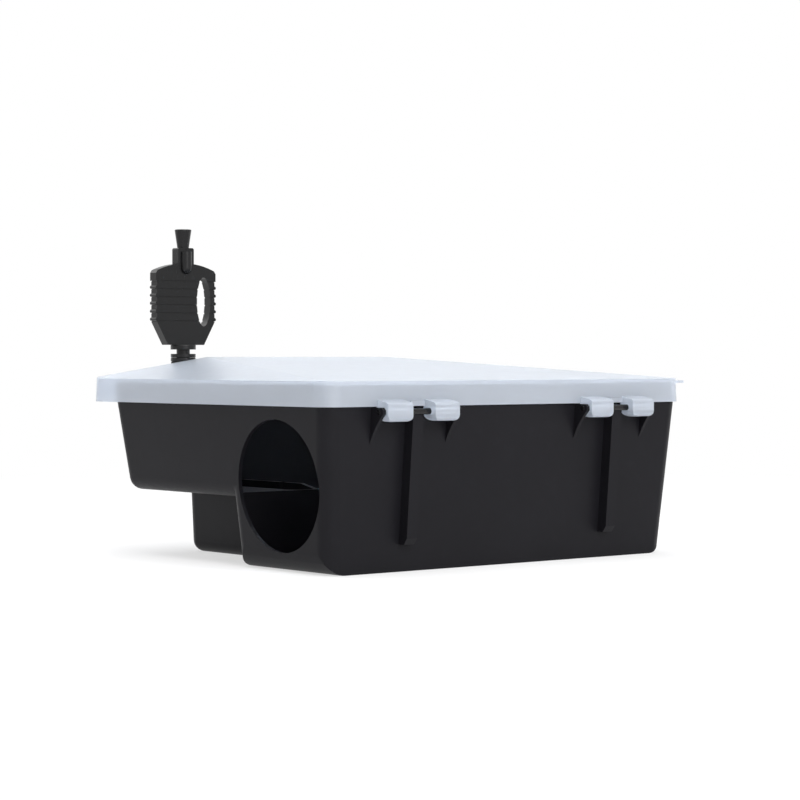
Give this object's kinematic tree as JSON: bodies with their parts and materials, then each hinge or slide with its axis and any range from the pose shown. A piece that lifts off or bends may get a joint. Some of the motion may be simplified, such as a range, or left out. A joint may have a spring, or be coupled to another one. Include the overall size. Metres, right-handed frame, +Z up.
{
  "type": "bait station",
  "caption": "Lockable rodent bait station: black tub with a through tunnel, translucent hinged lid, cam locks with a key, and lift-out rods of bait blocks",
  "frame": {"origin": "on the floor plane, under the middle of the tub's rim", "axes": "+X along the hinge wall, +Y from the hinge wall to the lock side, +Z up"},
  "size_m": [0.238, 0.2088, 0.1686],
  "materials": {
    "black_tub": "satin moulded polypropylene, black",
    "black_rod": "smooth black round bar",
    "clear_lid": "translucent milky polypropylene",
    "black_lock": "moulded black nylon",
    "zinc_screw": "zinc plated",
    "rubber_seal": "black rubber",
    "black_key": "satin moulded nylon, black",
    "zinc_wire": "zinc plated wire",
    "bait_wax": "extruded wax bait, dull"
  },
  "bodies": {
    "base": {"base_tub": "black_tub", "hinge_rod_left": "black_rod", "hinge_rod_right": "black_rod"},
    "lid": {"lid": "clear_lid"},
    "lock_left": {"lock_barrel_left": "black_lock", "lock_cam_left": "black_lock", "lock_screw_left": "zinc_screw", "lock_seal_left": "rubber_seal"},
    "lock_right": {"lock_barrel_right": "black_lock", "lock_cam_right": "black_lock", "lock_screw_right": "zinc_screw", "lock_seal_right": "rubber_seal"},
    "key": {"key": "black_key"},
    "bait_rod_rear": {"bait_rod_rear": "zinc_wire", "bait_block_rear_1": "bait_wax", "bait_block_rear_2": "bait_wax", "bait_block_rear_3": "bait_wax"},
    "bait_rod_front": {"bait_rod_front": "zinc_wire", "bait_block_front_1": "bait_wax", "bait_block_front_2": "bait_wax", "bait_block_front_3": "bait_wax"}
  },
  "joints": [
    {"name": "lid_hinge", "type": "hinge", "parent": "base", "child": "lid", "pos_m": [0, -0.0952, 0.0758], "axis": [1, 0, 0], "range_deg": [0, 105]},
    {"name": "lock_left_turn", "type": "hinge", "parent": "lid", "child": "lock_left", "pos_m": [-0.065, 0.0989, 0.09], "axis": [0, 0, 1], "range_deg": [0, 90]},
    {"name": "lock_right_turn", "type": "hinge", "parent": "lid", "child": "lock_right", "pos_m": [0.065, 0.0989, 0.09], "axis": [0, 0, -1], "range_deg": [0, 90]},
    {"name": "key_lift", "type": "slide", "parent": "lock_left", "child": "key", "axis": [0, 0, 1], "range_m": [0, 0.03]},
    {"name": "bait_rod_rear_lift", "type": "slide", "parent": "base", "child": "bait_rod_rear", "axis": [0, 0, 1], "range_m": [0, 0.024]},
    {"name": "bait_rod_front_lift", "type": "slide", "parent": "base", "child": "bait_rod_front", "axis": [0, 0, 1], "range_m": [0, 0.024]}
  ]
}
